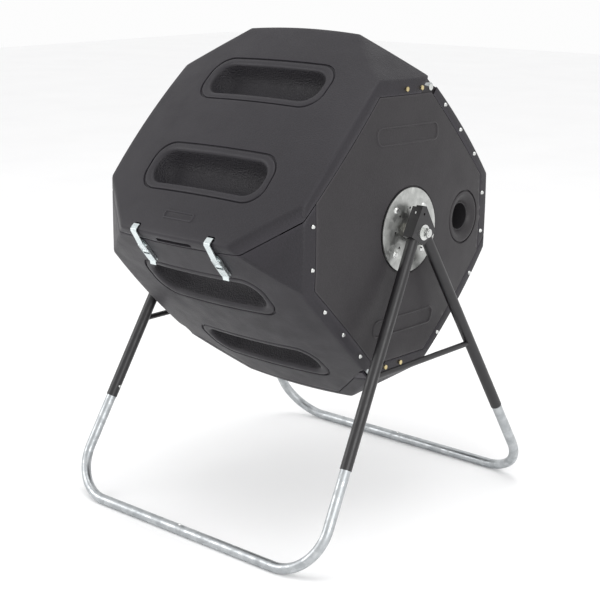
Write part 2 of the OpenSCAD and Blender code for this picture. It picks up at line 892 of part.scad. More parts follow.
module hub_bracket_right() { hub_bracket(1); }
module hub_bracket_left() { hub_bracket(-1); }
module axle_bolt_right() { axle_bolt(1); }
module axle_bolt_left() { axle_bolt(-1); }
module upper_leg_front_right() { upper_leg(1, -1); }
module upper_leg_front_left() { upper_leg(-1, -1); }
module upper_leg_back_right() { upper_leg(1, 1); }
module upper_leg_back_left() { upper_leg(-1, 1); }
module cross_bar_right() { cross_bar(1); }
module cross_bar_left() { cross_bar(-1); }
module foot_front_right() { foot(1, -1); }
module foot_front_left() { foot(-1, -1); }
module foot_back_right() { foot(1, 1); }
module foot_back_left() { foot(-1, 1); }

door_panel();
panel_lower_front();
panel_lower_back();
panel_upper_back();
end_panel_right();
end_panel_left();
aeration_tube();
hub_plate_right();
hub_plate_left();
hub_bolts();
hub_bushing_right();
hub_bushing_left();
door_hinge_straps();
door_hinge_bolts();
hinge_brackets();
hinge_pins();
corner_straps();
corner_bolts();
panel_screws();
latch_base_right();
latch_base_left();
latch_lever_right();
latch_lever_left();
latch_hook_right();
latch_hook_left();
hub_bracket_right();
hub_bracket_left();
axle_bolt_right();
axle_bolt_left();
axle_spacers();
axle_washers();
axle_nuts();
upper_leg_front_right();
upper_leg_front_left();
upper_leg_back_right();
upper_leg_back_left();
cross_bar_right();
cross_bar_left();
foot_front_right();
foot_front_left();
foot_back_right();
foot_back_left();
foot_couplers();
foot_screws();
leg_buttons();
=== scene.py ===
import math

import bmesh
import bpy
from mathutils import Matrix, Vector
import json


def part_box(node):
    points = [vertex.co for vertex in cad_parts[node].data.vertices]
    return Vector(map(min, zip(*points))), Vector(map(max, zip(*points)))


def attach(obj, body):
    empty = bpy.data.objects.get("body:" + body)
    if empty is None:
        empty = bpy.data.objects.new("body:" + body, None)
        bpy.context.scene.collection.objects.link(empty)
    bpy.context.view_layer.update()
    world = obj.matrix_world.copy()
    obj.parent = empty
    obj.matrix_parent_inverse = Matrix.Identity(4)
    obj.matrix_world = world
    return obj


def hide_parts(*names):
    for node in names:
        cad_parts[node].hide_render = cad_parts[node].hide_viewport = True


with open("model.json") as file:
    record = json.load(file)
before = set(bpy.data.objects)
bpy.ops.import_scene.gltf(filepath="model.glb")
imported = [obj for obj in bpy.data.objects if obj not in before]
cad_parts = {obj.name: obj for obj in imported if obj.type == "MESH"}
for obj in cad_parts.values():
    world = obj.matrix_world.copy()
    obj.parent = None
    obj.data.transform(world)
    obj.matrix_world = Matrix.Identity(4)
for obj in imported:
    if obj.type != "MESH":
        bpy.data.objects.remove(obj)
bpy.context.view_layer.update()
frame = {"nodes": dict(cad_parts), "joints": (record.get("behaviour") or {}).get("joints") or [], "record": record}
scene = bpy.context.scene
joints = {j["name"]: j for j in frame["joints"]}
AXLE = joints["drum_spin"]["pos_m"][2]

# ---- Camera ----


def aim(obj, yaw, pitch):
    """Turns a camera to look along a compass angle and a slope, in degrees."""
    yaw, pitch = math.radians(yaw), math.radians(pitch)
    look = Vector((math.sin(yaw) * math.cos(pitch), math.cos(yaw) * math.cos(pitch),
                   math.sin(pitch)))
    obj.rotation_euler = look.to_track_quat("-Z", "Y").to_euler()


camera = bpy.data.objects.new("camera", bpy.data.cameras.new("camera"))
scene.collection.objects.link(camera)
camera.location = (2.0849, -2.3606, AXLE + 0.613)
aim(camera, -41.53, -14.67)
camera.data.lens = 82.84
camera.data.sensor_width = 36
scene.camera = camera
scene.view_settings.view_transform = "Standard"

# ---- Materials ----


class Shader:
    """Builds one procedural material out of nodes."""

    def __init__(self, name):
        self.mat = bpy.data.materials.new(name)
        self.mat.use_nodes = True
        self.nodes = self.mat.node_tree.nodes
        self.links = self.mat.node_tree.links
        self.bsdf = self.nodes["Principled BSDF"]
        self.coord = self.nodes.new("ShaderNodeTexCoord").outputs["Object"]

    def link(self, a, b):
        self.links.new(a, b)

    def noise(self, scale, detail=4.0, rough=0.55):
        """Soft noise, 0 to 1."""
        n = self.nodes.new("ShaderNodeTexNoise")
        n.inputs["Scale"].default_value = scale
        n.inputs["Detail"].default_value = detail
        n.inputs["Roughness"].default_value = rough
        self.link(self.coord, n.inputs["Vector"])
        return n.outputs["Fac"]

    def cells(self, scale, feature="F1", out="Distance"):
        """Voronoi cells."""
        n = self.nodes.new("ShaderNodeTexVoronoi")
        n.feature = feature
        n.inputs["Scale"].default_value = scale
        self.link(self.coord, n.inputs["Vector"])
        return n.outputs[out]

    def remap(self, value, a, b, lo, hi):
        """Maps a..b to lo..hi, and holds it there."""
        n = self.nodes.new("ShaderNodeMapRange")
        for key, v in (("From Min", a), ("From Max", b), ("To Min", lo), ("To Max", hi)):
            n.inputs[key].default_value = v
        self.link(value, n.inputs["Value"])
        return n.outputs["Result"]

    def math(self, op, a, b):
        n = self.nodes.new("ShaderNodeMath")
        n.operation = op
        for i, v in enumerate((a, b)):
            if isinstance(v, (int, float)):
                n.inputs[i].default_value = v
            else:
                self.link(v, n.inputs[i])
        return n.outputs[0]

    def mix(self, fac, a, b):
        """Colour between a and b."""
        n = self.nodes.new("ShaderNodeMix")
        n.data_type = "RGBA"
        for key, v in ((0, fac), (6, a), (7, b)):
            if isinstance(v, (int, float)):
                n.inputs[key].default_value = v
            elif isinstance(v, tuple):
                n.inputs[key].default_value = (*v, 1)
            else:
                self.link(v, n.inputs[key])
        return n.outputs[2]

    def attribute(self, name):
        """A value stored at the points of the mesh."""
        n = self.nodes.new("ShaderNodeAttribute")
        n.attribute_name = name
        return n.outputs["Fac"]

    def bump(self, height, strength, distance, under=None):
        """Relief, on top of the one under it."""
        n = self.nodes.new("ShaderNodeBump")
        n.inputs["Distance"].default_value = distance
        if isinstance(strength, (int, float)):
            n.inputs["Strength"].default_value = strength
        else:
            self.link(strength, n.inputs["Strength"])
        self.link(height, n.inputs["Height"])
        if under is not None:
            self.link(under, n.inputs["Normal"])
        return n.outputs["Normal"]

    def done(self, color, rough, normal, metallic=0.0, specular=0.5):
        """Links the surface and gives the material."""
        for key, v in (("Base Color", color), ("Roughness", rough), ("Normal", normal),
                       ("Metallic", metallic), ("Specular IOR Level", specular)):
            socket = self.bsdf.inputs[key]
            if isinstance(v, (int, float)):
                socket.default_value = v
            elif isinstance(v, tuple):
                socket.default_value = (*v, 1)
            elif v is not None:
                self.link(v, socket)
        return self.mat


def plastic(name, dark, light, grain=1.0, shine=0.32):
    """Grained moulding, darker and pebbled where "coarse" is set, with a painted highlight on its ridges."""
    s = Shader(name)
    zone = s.attribute("coarse")
    tone = s.remap(s.noise(7, 3), 0.35, 0.65, 0.5, 1.1)
    speck = s.remap(s.noise(420, 2), 0.35, 0.7, 0, 1)
    base = s.mix(tone, dark, light)
    color = s.mix(s.math("MULTIPLY", speck, 0.45), base, tuple(c * 1.8 for c in light))
    # Painted highlight: the colour turns paler on convex ridges (Pointiness), standing in for the light line along
    # the edges
    ridge_highlight = s.nodes.new("ShaderNodeNewGeometry").outputs["Pointiness"]
    color = s.mix(s.remap(ridge_highlight, 0.515, 0.6, 0, 0.55), color, tuple(c * 3.2 for c in light))
    scuffs = s.remap(s.noise(26, 8, 0.7), 0.6, 0.72, 0, 0.12)
    color = s.mix(scuffs, color, tuple(min(1, c * 2.2) for c in light))
    color = s.mix(s.math("MULTIPLY", zone, 0.28), color, tuple(c * 0.35 for c in dark))
    fine = s.noise(900, 3, 0.6)
    leather = s.cells(300, "SMOOTH_F1")
    pebbles = s.cells(300)
    n1 = s.bump(fine, 0.25 * grain, 0.0005)
    n2 = s.bump(leather, 0.3 * grain, 0.0009, n1)
    n3 = s.bump(pebbles, s.math("MULTIPLY", zone, 0.9), 0.0014, n2)
    wave = s.noise(5, 2)
    n4 = s.bump(wave, 0.1, 0.006, n3)
    rough = s.math("ADD", s.remap(s.noise(18, 5), 0.3, 0.7, 0.42, 0.54),
                   s.math("MULTIPLY", zone, 0.04))
    return s.done(color, rough, n4, specular=shine)


def metal(name, dark, light, rough=(0.28, 0.42), spangle=0.0):
    """Zinc plate, or a galvanised skin where spangle gives the scale of its crystals."""
    s = Shader(name)
    cloud = s.remap(s.noise(60, 5), 0.3, 0.7, 0, 1)
    color = s.mix(cloud, dark, light)
    if spangle:
        flake = s.cells(spangle, "F1", "Color")
        sep = s.nodes.new("ShaderNodeSeparateColor")
        s.link(flake, sep.inputs["Color"])
        grey = sep.outputs["Red"]
        color = s.mix(s.math("MULTIPLY", grey, 0.35), color, tuple(c * 0.62 for c in dark))
        roughness = s.remap(grey, 0, 1, rough[0], rough[1])
    else:
        roughness = s.remap(s.noise(120, 6, 0.65), 0.3, 0.7, rough[0], rough[1])
    grime = s.remap(s.noise(24, 6, 0.7), 0.58, 0.75, 0, 0.3)
    color = s.mix(grime, color, tuple(c * 0.45 for c in dark))
    n1 = s.bump(s.noise(500, 3, 0.6), 0.12, 0.0004)
    n2 = s.bump(s.noise(90, 3), 0.12, 0.0012, n1)
    return s.done(color, roughness, n2, metallic=1.0)


def coat(name, dark, light):
    """Powder coat with a little orange peel and worn spots."""
    s = Shader(name)
    color = s.mix(s.remap(s.noise(30, 5), 0.3, 0.7, 0, 1), dark, light)
    peel = s.bump(s.noise(650, 2), 0.22, 0.0005)
    wear = s.remap(s.noise(55, 8, 0.75), 0.66, 0.74, 0, 0.5)
    color = s.mix(wear, color, tuple(c * 2.2 for c in light))
    rough = s.remap(s.noise(45, 4), 0.3, 0.7, 0.30, 0.42)
    return s.done(color, rough, peel, specular=0.5)


MATS = {
    "side_panels": plastic("side_panels", (0.0115, 0.0105, 0.0128), (0.0175, 0.016, 0.0192),
                           1.0, 0.26),
    "end_panels": plastic("end_panels", (0.014, 0.0124, 0.014), (0.020, 0.0182, 0.020), 0.7),
    "tube_plastic": plastic("tube_plastic", (0.005, 0.005, 0.0055), (0.009, 0.0085, 0.0095)),
    "bushing_plastic": plastic("bushing_plastic", (0.55, 0.53, 0.48), (0.68, 0.66, 0.6)),
    "hub_zinc": metal("hub_zinc", (0.46, 0.47, 0.455), (0.62, 0.63, 0.61), (0.3, 0.5), 90),
    "yellow_zinc": metal("yellow_zinc", (0.52, 0.42, 0.2), (0.68, 0.58, 0.34)),
    "strap_zinc": metal("strap_zinc", (0.42, 0.44, 0.45), (0.55, 0.57, 0.57), (0.3, 0.45), 70),
    "latch_zinc": metal("latch_zinc", (0.58, 0.64, 0.65), (0.72, 0.77, 0.77), (0.22, 0.36)),
    "bright_zinc": metal("bright_zinc", (0.6, 0.61, 0.6), (0.74, 0.75, 0.73), (0.2, 0.34)),
    "galvanised": metal("galvanised", (0.40, 0.42, 0.435), (0.56, 0.58, 0.59), (0.3, 0.5), 55),
    "black_coat": coat("black_coat", (0.008, 0.0075, 0.0085), (0.013, 0.012, 0.0135)),
}
slots = {s["node"]: s["material_slot"] for s in frame["record"]["subparts"]}

# ---- The drum's skin, in millimetres, in the drum's own square frame ----

# Half the width and length at the corners, and the legs of a cut corner along and across
HALF_W, HALF_L = 292.5, 290.0
CUT_L, CUT_S = 131.0, 127.0
# Radius of every crowned face, the wall of the panels, and the distance of equal points
R, WALL, SAME = 2550.0, 6.0, 0.4
ROOT2 = math.sqrt(2)
X, Y, Z = Vector((1, 0, 0)), Vector((0, 1, 0)), Vector((0, 0, 1))
# The crown's height at a cut corner, the slope of the cuts, their distance from the axle,
# and the centres of the crowned faces' spheres
CROWN = R - math.sqrt(R * R - HALF_W ** 2 - (HALF_W - CUT_S) ** 2)
SLOPE = CUT_S / ROOT2 / CUT_L
RIM_R = HALF_W * ROOT2 + SLOPE * (HALF_L - CUT_L)
SIDE_C, END_C = HALF_W + CROWN - R, HALF_L + CROWN - R
SIDES = [Z, -Y, -Z, Y]
CENTRES = [(n, n * SIDE_C) for n in SIDES] + [(X * s, X * s * END_C) for s in (1, -1)]
# Grid steps along a cut corner, and the width of the rounded ridges and their steps
STEPS = 8
RIDGE_W, RIDGE_STEPS = 9.5, 4
# How much of the rough grain the cut corners have
FACET_GRAIN = 0.35


def reach(ray):
    """Point where a ray from the drum's middle leaves the crowned faces."""
    best = 1e9
    for normal, c in CENTRES:
        if ray.dot(normal) <= 0:
            continue
        a, b, k = ray.dot(ray), ray.dot(c), c.dot(c) - R * R
        best = min(best, (b + math.sqrt(b * b - a * k)) / a)
    return ray * best


def off_corner(p):
    """Negative inside the plane of the nearest cut corner."""
    return SLOPE * abs(p.x) + (abs(p.y) + abs(p.z)) / ROOT2 - RIM_R


def grid_lines(first, whole, below):
    """Grid lines out to whole, both ways, with STEPS equal ones past first."""
    inner = [first * i / below for i in range(below)]
    outer = [first + (whole - first) * i / STEPS for i in range(STEPS + 1)]
    half = inner + outer
    return [-v for v in reversed(half[1:])] + half


XS = grid_lines(HALF_L - CUT_L, HALF_L, 12)
YS = grid_lines(HALF_W - CUT_S, HALF_W, 13)


def skin_grid(bm, place, us, vs):
    """One crowned face without its cut corners. place(u, v) is the ray through its
    point u, v. Points on a cut are slid along the face to the cut's plane."""
    nu, nv = len(us), len(vs)
    cu, cv = nu - 1 - STEPS, nv - 1 - STEPS
    made = {}

    def amount(k, c):
        return STEPS - k if k < STEPS else (k - c if k > c else 0)

    def node(i, j):
        if (i, j) not in made:
            u, v = us[i], vs[j]
            a, b = amount(i, cu), amount(j, cv)
            p = reach(place(u, v))
            if a + b == STEPS and a and b:
                for _ in range(4):
                    d = off_corner(p) / (SLOPE + 1 / ROOT2)
                    u -= math.copysign(d, u)
                    v -= math.copysign(d, v)
                    p = reach(place(u, v))
            made[i, j] = bm.verts.new(p)
        return made[i, j]

    for i in range(nu - 1):
        for j in range(nv - 1):
            cs = [(i, j), (i + 1, j), (i + 1, j + 1), (i, j + 1)]
            keep = [c for c in cs if amount(c[0], cu) + amount(c[1], cv) <= STEPS]
            if len(keep) >= 3:
                bm.faces.new([node(*c) for c in keep])


def whole_skin():
    """The closed skin of the drum: six crowned faces, eight cut corners, soft ridges."""
    bm = bmesh.new()
    for n in SIDES:
        w = X.cross(n)
        skin_grid(bm, lambda u, v: X * u + w * v + n * HALF_W, XS, YS)
    for s in (1, -1):
        skin_grid(bm, lambda u, v: Vector((s * HALF_L, u, v)), YS, YS)
    bmesh.ops.remove_doubles(bm, verts=bm.verts, dist=SAME)
    for loop in edge_loops([e for e in bm.edges if e.is_boundary]):
        bm.faces.new(loop)
    bmesh.ops.recalc_face_normals(bm, faces=bm.faces)
    if sum(f.normal.dot(f.calc_center_median()) for f in bm.faces) < 0:
        bmesh.ops.reverse_faces(bm, faces=bm.faces)
    layer = bm.verts.layers.float.new("coarse")
    bm.faces.layers.int.new("inlay")
    for f in bm.faces:
        if len(f.verts) > 4:
            for v in f.verts:
                v[layer] = FACET_GRAIN
    ridges = [e for e in bm.edges if e.calc_face_angle(0) > math.radians(12)]
    bmesh.ops.bevel(bm, geom=ridges, offset=RIDGE_W, offset_type="WIDTH",
                    segments=RIDGE_STEPS, profile=0.5, affect="EDGES", clamp_overlap=False)
    bmesh.ops.recalc_face_normals(bm, faces=bm.faces)
    return bm


def edge_loops(edges):
    """Sorts edges into chains, each a list of its points in order."""
    ahead = {}
    for e in edges:
        for v in e.verts:
            ahead.setdefault(v, []).append(e)
    left, loops = dict.fromkeys(edges), []
    while left:
        first = next(iter(left))
        del left[first]
        loop = list(first.verts)
        while True:
            following = [e for e in ahead[loop[-1]] if e in left]
            if not following:
                break
            del left[following[0]]
            loop.append(following[0].other_vert(loop[-1]))
        if loop[-1] is loop[0]:
            loop.pop()
        loops.append(loop)
    return loops


# Steps of the search for a ring's point along a ray
HALVINGS = 26
# Faces this far outside the first ring are taken away too
CLEARANCE = 1.5


def inlay(bm, normal, across, centre, outline, core, profile, coarse_from=None, turn=0.0,
          closed=True):
    """Replaces part of a face with rings that follow an outline, and closes the last one.
    profile lists how far each ring is moved in and how deep it lies. outline(u, v, t) is
    negative inside the outline moved in by t. core is half the length of the line that
    the rings close in on. Rings from coarse_from on get the rough grain."""
    up = normal.cross(across)
    ct, st = math.cos(turn), math.sin(turn)

    def flat(p):
        u, v = p.dot(across) - centre[0], p.dot(up) - centre[1]
        return ct * u + st * v, -st * u + ct * v

    def solid(u, v):
        x, y = ct * u - st * v + centre[0], st * u + ct * v + centre[1]
        return surface(normal, across, up, x, y)

    old = {e for e in bm.edges if e.is_boundary}
    gone = [f for f in bm.faces if f.normal.dot(normal) > 0.9
            and any(outline(*flat(v.co)) < CLEARANCE - profile[0][0] for v in f.verts)]
    bmesh.ops.delete(bm, geom=gone, context="FACES")
    edge = [e for e in bm.edges if e.is_boundary and e not in old]
    bmesh.ops.subdivide_edges(bm, edges=edge, cuts=1)
    edge = [e for e in bm.edges if e.is_boundary and e not in old]
    loop = max(edge_loops(edge), key=len)
    layer = bm.verts.layers.float["coarse"]
    mark = bm.faces.layers.int["inlay"]
    uv = [flat(v.co) for v in loop]
    starts = [(max(-core, min(core, u)), 0.0) for u, v in uv]
    rings = []
    for inset, depth in profile:
        ring = []
        for (u, v), (cu, cv) in zip(uv, starts):
            lo, hi = 0.0, 1.0
            for _ in range(HALVINGS):
                mid = (lo + hi) / 2
                if outline(cu + (u - cu) * mid, cv + (v - cv) * mid, inset) < 0:
                    lo = mid
                else:
                    hi = mid
            q = bm.verts.new(solid(cu + (u - cu) * hi, cv + (v - cv) * hi) - normal * depth)
            if coarse_from is not None and inset >= coarse_from:
                q[layer] = 1.0
            ring.append(q)
        rings.append(ring)
    before = loop
    n = len(loop)
    fresh = []
    for ring in rings:
        for i in range(n):
            k = (i + 1) % n
            fresh.append(bm.faces.new((before[i], before[k], ring[k], ring[i])))
        before = ring
    if closed:
        edges = [bm.edges.get((before[i], before[(i + 1) % n])) for i in range(n)]
        filled = bmesh.ops.triangle_fill(bm, edges=edges, use_beauty=True,
                                         normal=normal)["geom"]
        fresh += [f for f in filled if isinstance(f, bmesh.types.BMFace)]
    bmesh.ops.recalc_face_normals(bm, faces=fresh)
    for f in fresh:
        f[mark] = 1
        f.normal_update()
    if sum(f.normal.dot(normal) * f.calc_area() for f in fresh) < 0:
        bmesh.ops.reverse_faces(bm, faces=fresh)


def surface(normal, across, up, x, y):
    """Point of a crowned face at x, y from its middle."""
    c = END_C if abs(normal.x) > 0.5 else SIDE_C
    return across * x + up * y + normal * (c + math.sqrt(R * R - x * x - y * y))


def pill(half_u, half_v, r, shrink=1.0):
    """Rounded outline, moved in by t. Its corner radius shrinks by shrink * t."""
    def f(u, v, t=0.0):
        hu, hv = half_u - t, half_v - t
        k = min(hv, max(r - shrink * t, 0.01))
        qu, qv = abs(u) - hu + k, abs(v) - hv + k
        return math.hypot(max(qu, 0), max(qv, 0)) + min(max(qu, qv), 0) - k
    return f


BOWL = [(-2, 0), (-0.6, 0.2), (0, 1.2), (0.5, 3.8), (3.2, 4.2), (3.9, 2.0), (4.9, 0.8),
        (6.5, 0.3), (9, 0.1), (13, 0.3), (16, 1.0), (18.4, 2.3), (20.2, 4.4), (21.6, 7.4),
        (23, 11.5), (25, 17), (28, 24), (32, 31), (37, 37), (43, 41.5), (50, 44.5), (57, 46)]
BADGE = [(-2, 0), (-0.8, -0.1), (0.1, -1.3), (0.9, -1.9), (2.6, -1.9), (3.4, -1.2),
         (4.2, 0.2), (5.2, 0.6), (7.5, 0.6)]
VENT = [(-2, 0), (-0.4, 0.2), (0.2, 1.4), (0.8, 4.0), (2.8, 4.2), (3.6, 1.8), (4.8, 0.6),
        (7, 0.1), (10, 0.5), (14, 1.7), (18, 3.6), (22, 6.2), (26, 9.6), (29, 13.2),
        (30.5, 16), (31, 19)]
POCKET = [(-3, 0), (-1.5, 0.1), (-0.5, 0.7), (0, 1.6), (0.2, 3.4)]


def cut(bm, point, normal, which):
    """Splits the faces that which(face) picks along a plane, but never an inlay's."""
    mark = bm.faces.layers.int["inlay"]
    faces = [f for f in bm.faces if not f[mark] and which(f)]
    geom = list(dict.fromkeys(v for f in faces for v in f.verts)) \
        + list(dict.fromkeys(e for f in faces for e in f.edges)) + faces
    bmesh.ops.bisect_plane(bm, geom=geom, dist=0.02, plane_co=point, plane_no=normal)


# A panel's edge turns down by EDGE_SOFT over EDGE_BAND
EDGE_SOFT, EDGE_BAND = 1.0, 1.6


def trim(bm, planes, inside):
    """Cuts the skin along planes, keeps the faces inside, and softens their new edge."""
    for point, normal, which in planes:
        for shift in (0, EDGE_BAND, -EDGE_BAND):
            cut(bm, point + normal * shift, normal, which)
    bm.normal_update()
    mark = bm.faces.layers.int["inlay"]
    gone = [f for f in bm.faces if not f[mark] and not inside(f.calc_center_median(), f.normal)]
    bmesh.ops.delete(bm, geom=gone, context="FACES")
    bm.normal_update()
    rim = [v for v in bm.verts if v.is_boundary and not any(f[mark] for f in v.link_faces)]
    for v, n in [(v, v.normal.copy()) for v in rim]:
        v.co -= n * EDGE_SOFT


def on_face(n, least=0.75):
    """Test for the faces that look along n."""
    return lambda f: f.normal.dot(n) > least


# Seams of a door-type panel: the height of its front edge and of its hinge edge, the
# distance of the end panels' short sides, the slant beside the hinge edge and its foot
LONG, HINGE, SUM, LOW = 270.5, 278.5, 412.0, 171.0
SHORT = SUM / ROOT2
GAP = 2.0


def in_door(p, n, grow=0.0):
    """The space that a door-type panel fills, in its own face's frame."""
    if n.y > 0.75:
        if p.z >= HINGE - grow:
            return True
    elif p.z >= LONG - grow:
        return True
    return (p.y + p.z) / ROOT2 >= SHORT - grow and p.z >= LOW - grow \
        and abs(p.x) + p.z >= SUM - grow * ROOT2


def to_prev(v):
    """Turns a vector by a quarter about the axle, to the panel before."""
    return Vector((v.x, -v.z, v.y))


def to_next(v):
    """Turns a vector by a quarter about the axle, to the panel after."""
    return Vector((v.x, v.z, -v.y))


def in_fixed(p, n):
    """The space that a fixed panel fills, in its own face's frame."""
    own = n.z > 0.75 or p.z >= LONG or (p.y + p.z) / ROOT2 >= SHORT
    return own and p.z > 0 and not in_door(to_prev(p), to_prev(n), GAP) \
        and not in_door(to_next(p), to_next(n), GAP)


def door_planes(turn, grow=0.0):
    """The seams of a door-type panel, turned into another panel's frame."""
    side, hinge = turn(-Y), turn(Y)
    ends = lambda f: abs(f.normal.x) > 0.75
    front = lambda f: f.normal.dot(side) > 0.45 or abs(f.normal.x) > 0.7
    corner = lambda f: f.normal.dot(hinge) > 0.2 or abs(f.normal.x) > 0.3
    slant = SUM - grow * ROOT2
    seams = [(Z * (LONG - grow), Z, front), (Z * (HINGE - grow), Z, on_face(hinge))]
    seams += [(Z * slant, Vector((s, 0, 1)).normalized(), on_face(hinge)) for s in (1, -1)]
    seams += [(Z * (LOW - grow), Z, corner),
              ((Y + Z) * ((SHORT - grow) / ROOT2), (Y + Z).normalized(), ends)]
    return [(turn(point), turn(normal), which) for point, normal, which in seams]


def thicken(bm, name, depth=WALL):
    """Makes an object of a skin, with its thickness inwards as a modifier."""
    me = bpy.data.meshes.new(name)
    bm.to_mesh(me)
    bm.free()
    ob = bpy.data.objects.new(name, me)
    scene.collection.objects.link(ob)
    mod = ob.modifiers.new("thick", "SOLIDIFY")
    mod.thickness = depth
    mod.offset = -1
    return ob


def carve(ob, tools=()):
    """Cuts tools out of an object, and applies all its modifiers."""
    for i, t in enumerate(tools):
        mod = ob.modifiers.new("cut%d" % i, "BOOLEAN")
        mod.object = t
        mod.operation = "DIFFERENCE"
        mod.solver = "EXACT"
    dep = bpy.context.evaluated_depsgraph_get()
    me = bpy.data.meshes.new_from_object(ob.evaluated_get(dep), preserve_all_data_layers=True,
                                         depsgraph=dep)
    ob.modifiers.clear()
    ob.data = me
    for t in tools:
        bpy.data.objects.remove(t)
    return ob


def block(low, high):
    """Cutting tool: a box with slightly rounded edges."""
    bm = bmesh.new()
    bmesh.ops.create_cube(bm, size=1)
    low, high = Vector(low), Vector(high)
    for v in bm.verts:
        v.co = Vector([low[k] + (v.co[k] + 0.5) * (high[k] - low[k]) for k in range(3)])
    bmesh.ops.bevel(bm, geom=bm.edges, offset=1.5, segments=2, affect="EDGES")
    return tool(bm)


def round_tool(radius, x0, x1, y, z):
    """Cutting tool: a cylinder along the axle's direction."""
    bm = bmesh.new()
    bmesh.ops.create_cone(bm, cap_ends=True, segments=48, radius1=radius, radius2=radius,
                          depth=x1 - x0, matrix=Matrix.Translation(((x0 + x1) / 2, y, z))
                          @ Matrix.Rotation(math.pi / 2, 4, "Y"))
    return tool(bm)


def tool(bm):
    """Object of a cutting tool."""
    me = bpy.data.meshes.new("tool")
    bm.to_mesh(me)
    bm.free()
    ob = bpy.data.objects.new("tool", me)
    scene.collection.objects.link(ob)
    return ob


# Edges that turn by less than this are shaded smooth
SMOOTH = math.radians(38)


def place(ob, matrix, name, body, slot, node=None):
    """Puts a piece drawn in millimetres in the frame, shaded and in its material."""
    me = ob.data
    me.transform(matrix @ Matrix.Scale(0.001, 4))
    if matrix.determinant() < 0:
        me.flip_normals()
    bm = bmesh.new()
    bm.from_mesh(me)
    bmesh.ops.dissolve_degenerate(bm, dist=1e-6, edges=bm.edges)
    for f in bm.faces:
        f.smooth = True
    for e in bm.edges:
        e.smooth = len(e.link_faces) != 2 or e.calc_face_angle(0) < SMOOTH
    bm.to_mesh(me)
    bm.free()
    me.materials.clear()
    me.materials.append(MATS[slot])
    ob.name = name
    me.name = name
    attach(ob, body)
    if node:
        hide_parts(node)


TILT = math.radians(44)
DRUM = Matrix.Translation((0, 0, AXLE)) @ Matrix.Rotation(TILT, 4, "X")


def face_matrix(k):
    """Frame of side panel k: 0 is the door."""
    return DRUM @ Matrix.Rotation(math.radians(90 * k), 4, "X")


SKIN = whole_skin()
# The two bowls of a side panel: distance from its middle, and half length of their core
BOWL_Y, BOWL_CORE, BOWL_COARSE = 127, 122, 20.5
BOWL_LINE = pill(182, 64, 50, 0.5)
# The blank badge frames of the door and the end panels
DOOR_BADGE, DOOR_BADGE_AT, DOOR_BADGE_CORE = pill(44, 10, 5), (-5, -246), 34
END_BADGE, END_BADGE_R, END_BADGE_CORE = pill(107, 20, 16), 208, 88
# The round vent of an end panel, and the pocket round the hub
VENT_LINE, VENT_R, POCKET_LINE = pill(62, 62, 62), 216, pill(97, 97, 97)
# The end panels stop short of the seam by this much
END_GAP = 1.2


def bowls(bm):
    """Sinks the two bowls into the panel that looks along Z."""
    for v in (-BOWL_Y, BOWL_Y):
        inlay(bm, Z, X, (0, v), BOWL_LINE, BOWL_CORE, BOWL, BOWL_COARSE)


def door_skin(badge):
    """Skin of the door or of the lower back panel, which has no badge frame."""
    bm = SKIN.copy()
    bowls(bm)
    if badge:
        inlay(bm, Z, X, DOOR_BADGE_AT, DOOR_BADGE, DOOR_BADGE_CORE, BADGE)
    trim(bm, door_planes(Vector), in_door)
    return bm


def fixed_skin():
    """Skin of a panel whose flanges wrap the end panels, with its hinge notches."""
    bm = SKIN.copy()
    bowls(bm)
    ends = lambda f: abs(f.normal.x) > 0.75
    planes = door_planes(to_next, GAP) + door_planes(to_prev, GAP)
    planes.append((Z * LONG, Z, ends))
    planes.append(((Y + Z) * (SHORT / ROOT2), (Y + Z).normalized(), ends))
    # Room for the hinge and its strap, in the flanges over the end panels
    at = to_prev(pin)
    low, left, right = at.z - HINGE_ROOM, at.y - STRAP_ROOM, at.y + HINGE_ROOM
    near = lambda f: abs(f.normal.x) > 0.5 and f.calc_center_median().y < -60
    planes += [(Z * low, Z, near), (Y * left, Y, near), (Y * right, Y, near)]
    trim(bm, planes, lambda p, n: in_fixed(p, n) and not (
        abs(p.x) > NOTCH_X and left < p.y < right and p.z > low))
    return bm


def end_skin():
    """Skin of the right end panel: vent, hub pocket and two blank badge frames."""
    bm = SKIN.copy()
    a = VENT_R / ROOT2
    inlay(bm, X, Y, (a, -a), VENT_LINE, 0, VENT, closed=False)
    inlay(bm, X, Y, (0, 0), POCKET_LINE, 0, POCKET)
    for s in (1, -1):
        b = s * END_BADGE_R / ROOT2
        inlay(bm, X, Y, (b, b), END_BADGE, END_BADGE_CORE, BADGE, turn=-math.radians(45))
    a, b = LONG - END_GAP, SHORT - END_GAP
    test = lambda f: f.normal.x > 0.75
    planes = [(n * a, n, test) for n in (Y, -Y, Z, -Z)]
    planes += [(n.normalized() * b, n.normalized(), test)
               for n in (Y + Z, Y - Z, Z - Y, -Y - Z)]
    trim(bm, planes, lambda p, n: n.x > 0.5 and p.x > 200 and max(abs(p.y), abs(p.z)) < a
         and (abs(p.y) + abs(p.z)) / ROOT2 < b)
    return bm


def layer(keep, inset, depth, name, planes=()):
    """A plain strip of the skin moved in by inset, under a seam."""
    bm = SKIN.copy()
    bm.normal_update()
    for point, normal in planes:
        cut(bm, point, normal, on_face(Z, 0.5))
    bm.normal_update()
    bmesh.ops.delete(bm, geom=[f for f in bm.faces if not keep(f.calc_center_median(),
                                                               f.normal)], context="FACES")
    bm.normal_update()
    for v, n in [(v, v.normal.copy()) for v in bm.verts]:
        v.co -= n * inset
    return thicken(bm, name, depth)


# The band under the hinge seam: how far it goes inside and past the seam's lines
BAND_IN, BAND_OUT, SLANT_IN, SLANT_OUT, BAND_FOOT = 18, 4, 20, 6, 12
# The strips under the front seam: where they start, and half their length
STRIP_Y, STRIP_X = 252.5, 250
# Thickness of the strips, and how deep the hinge band and the end panels' rims lie
STRIP_T, BAND_DEPTH = 3, 6.2
RIM_FROM, RIM_CORNER, RIM_DEPTH, RIM_T = 250, 272, 6.6, 3.4


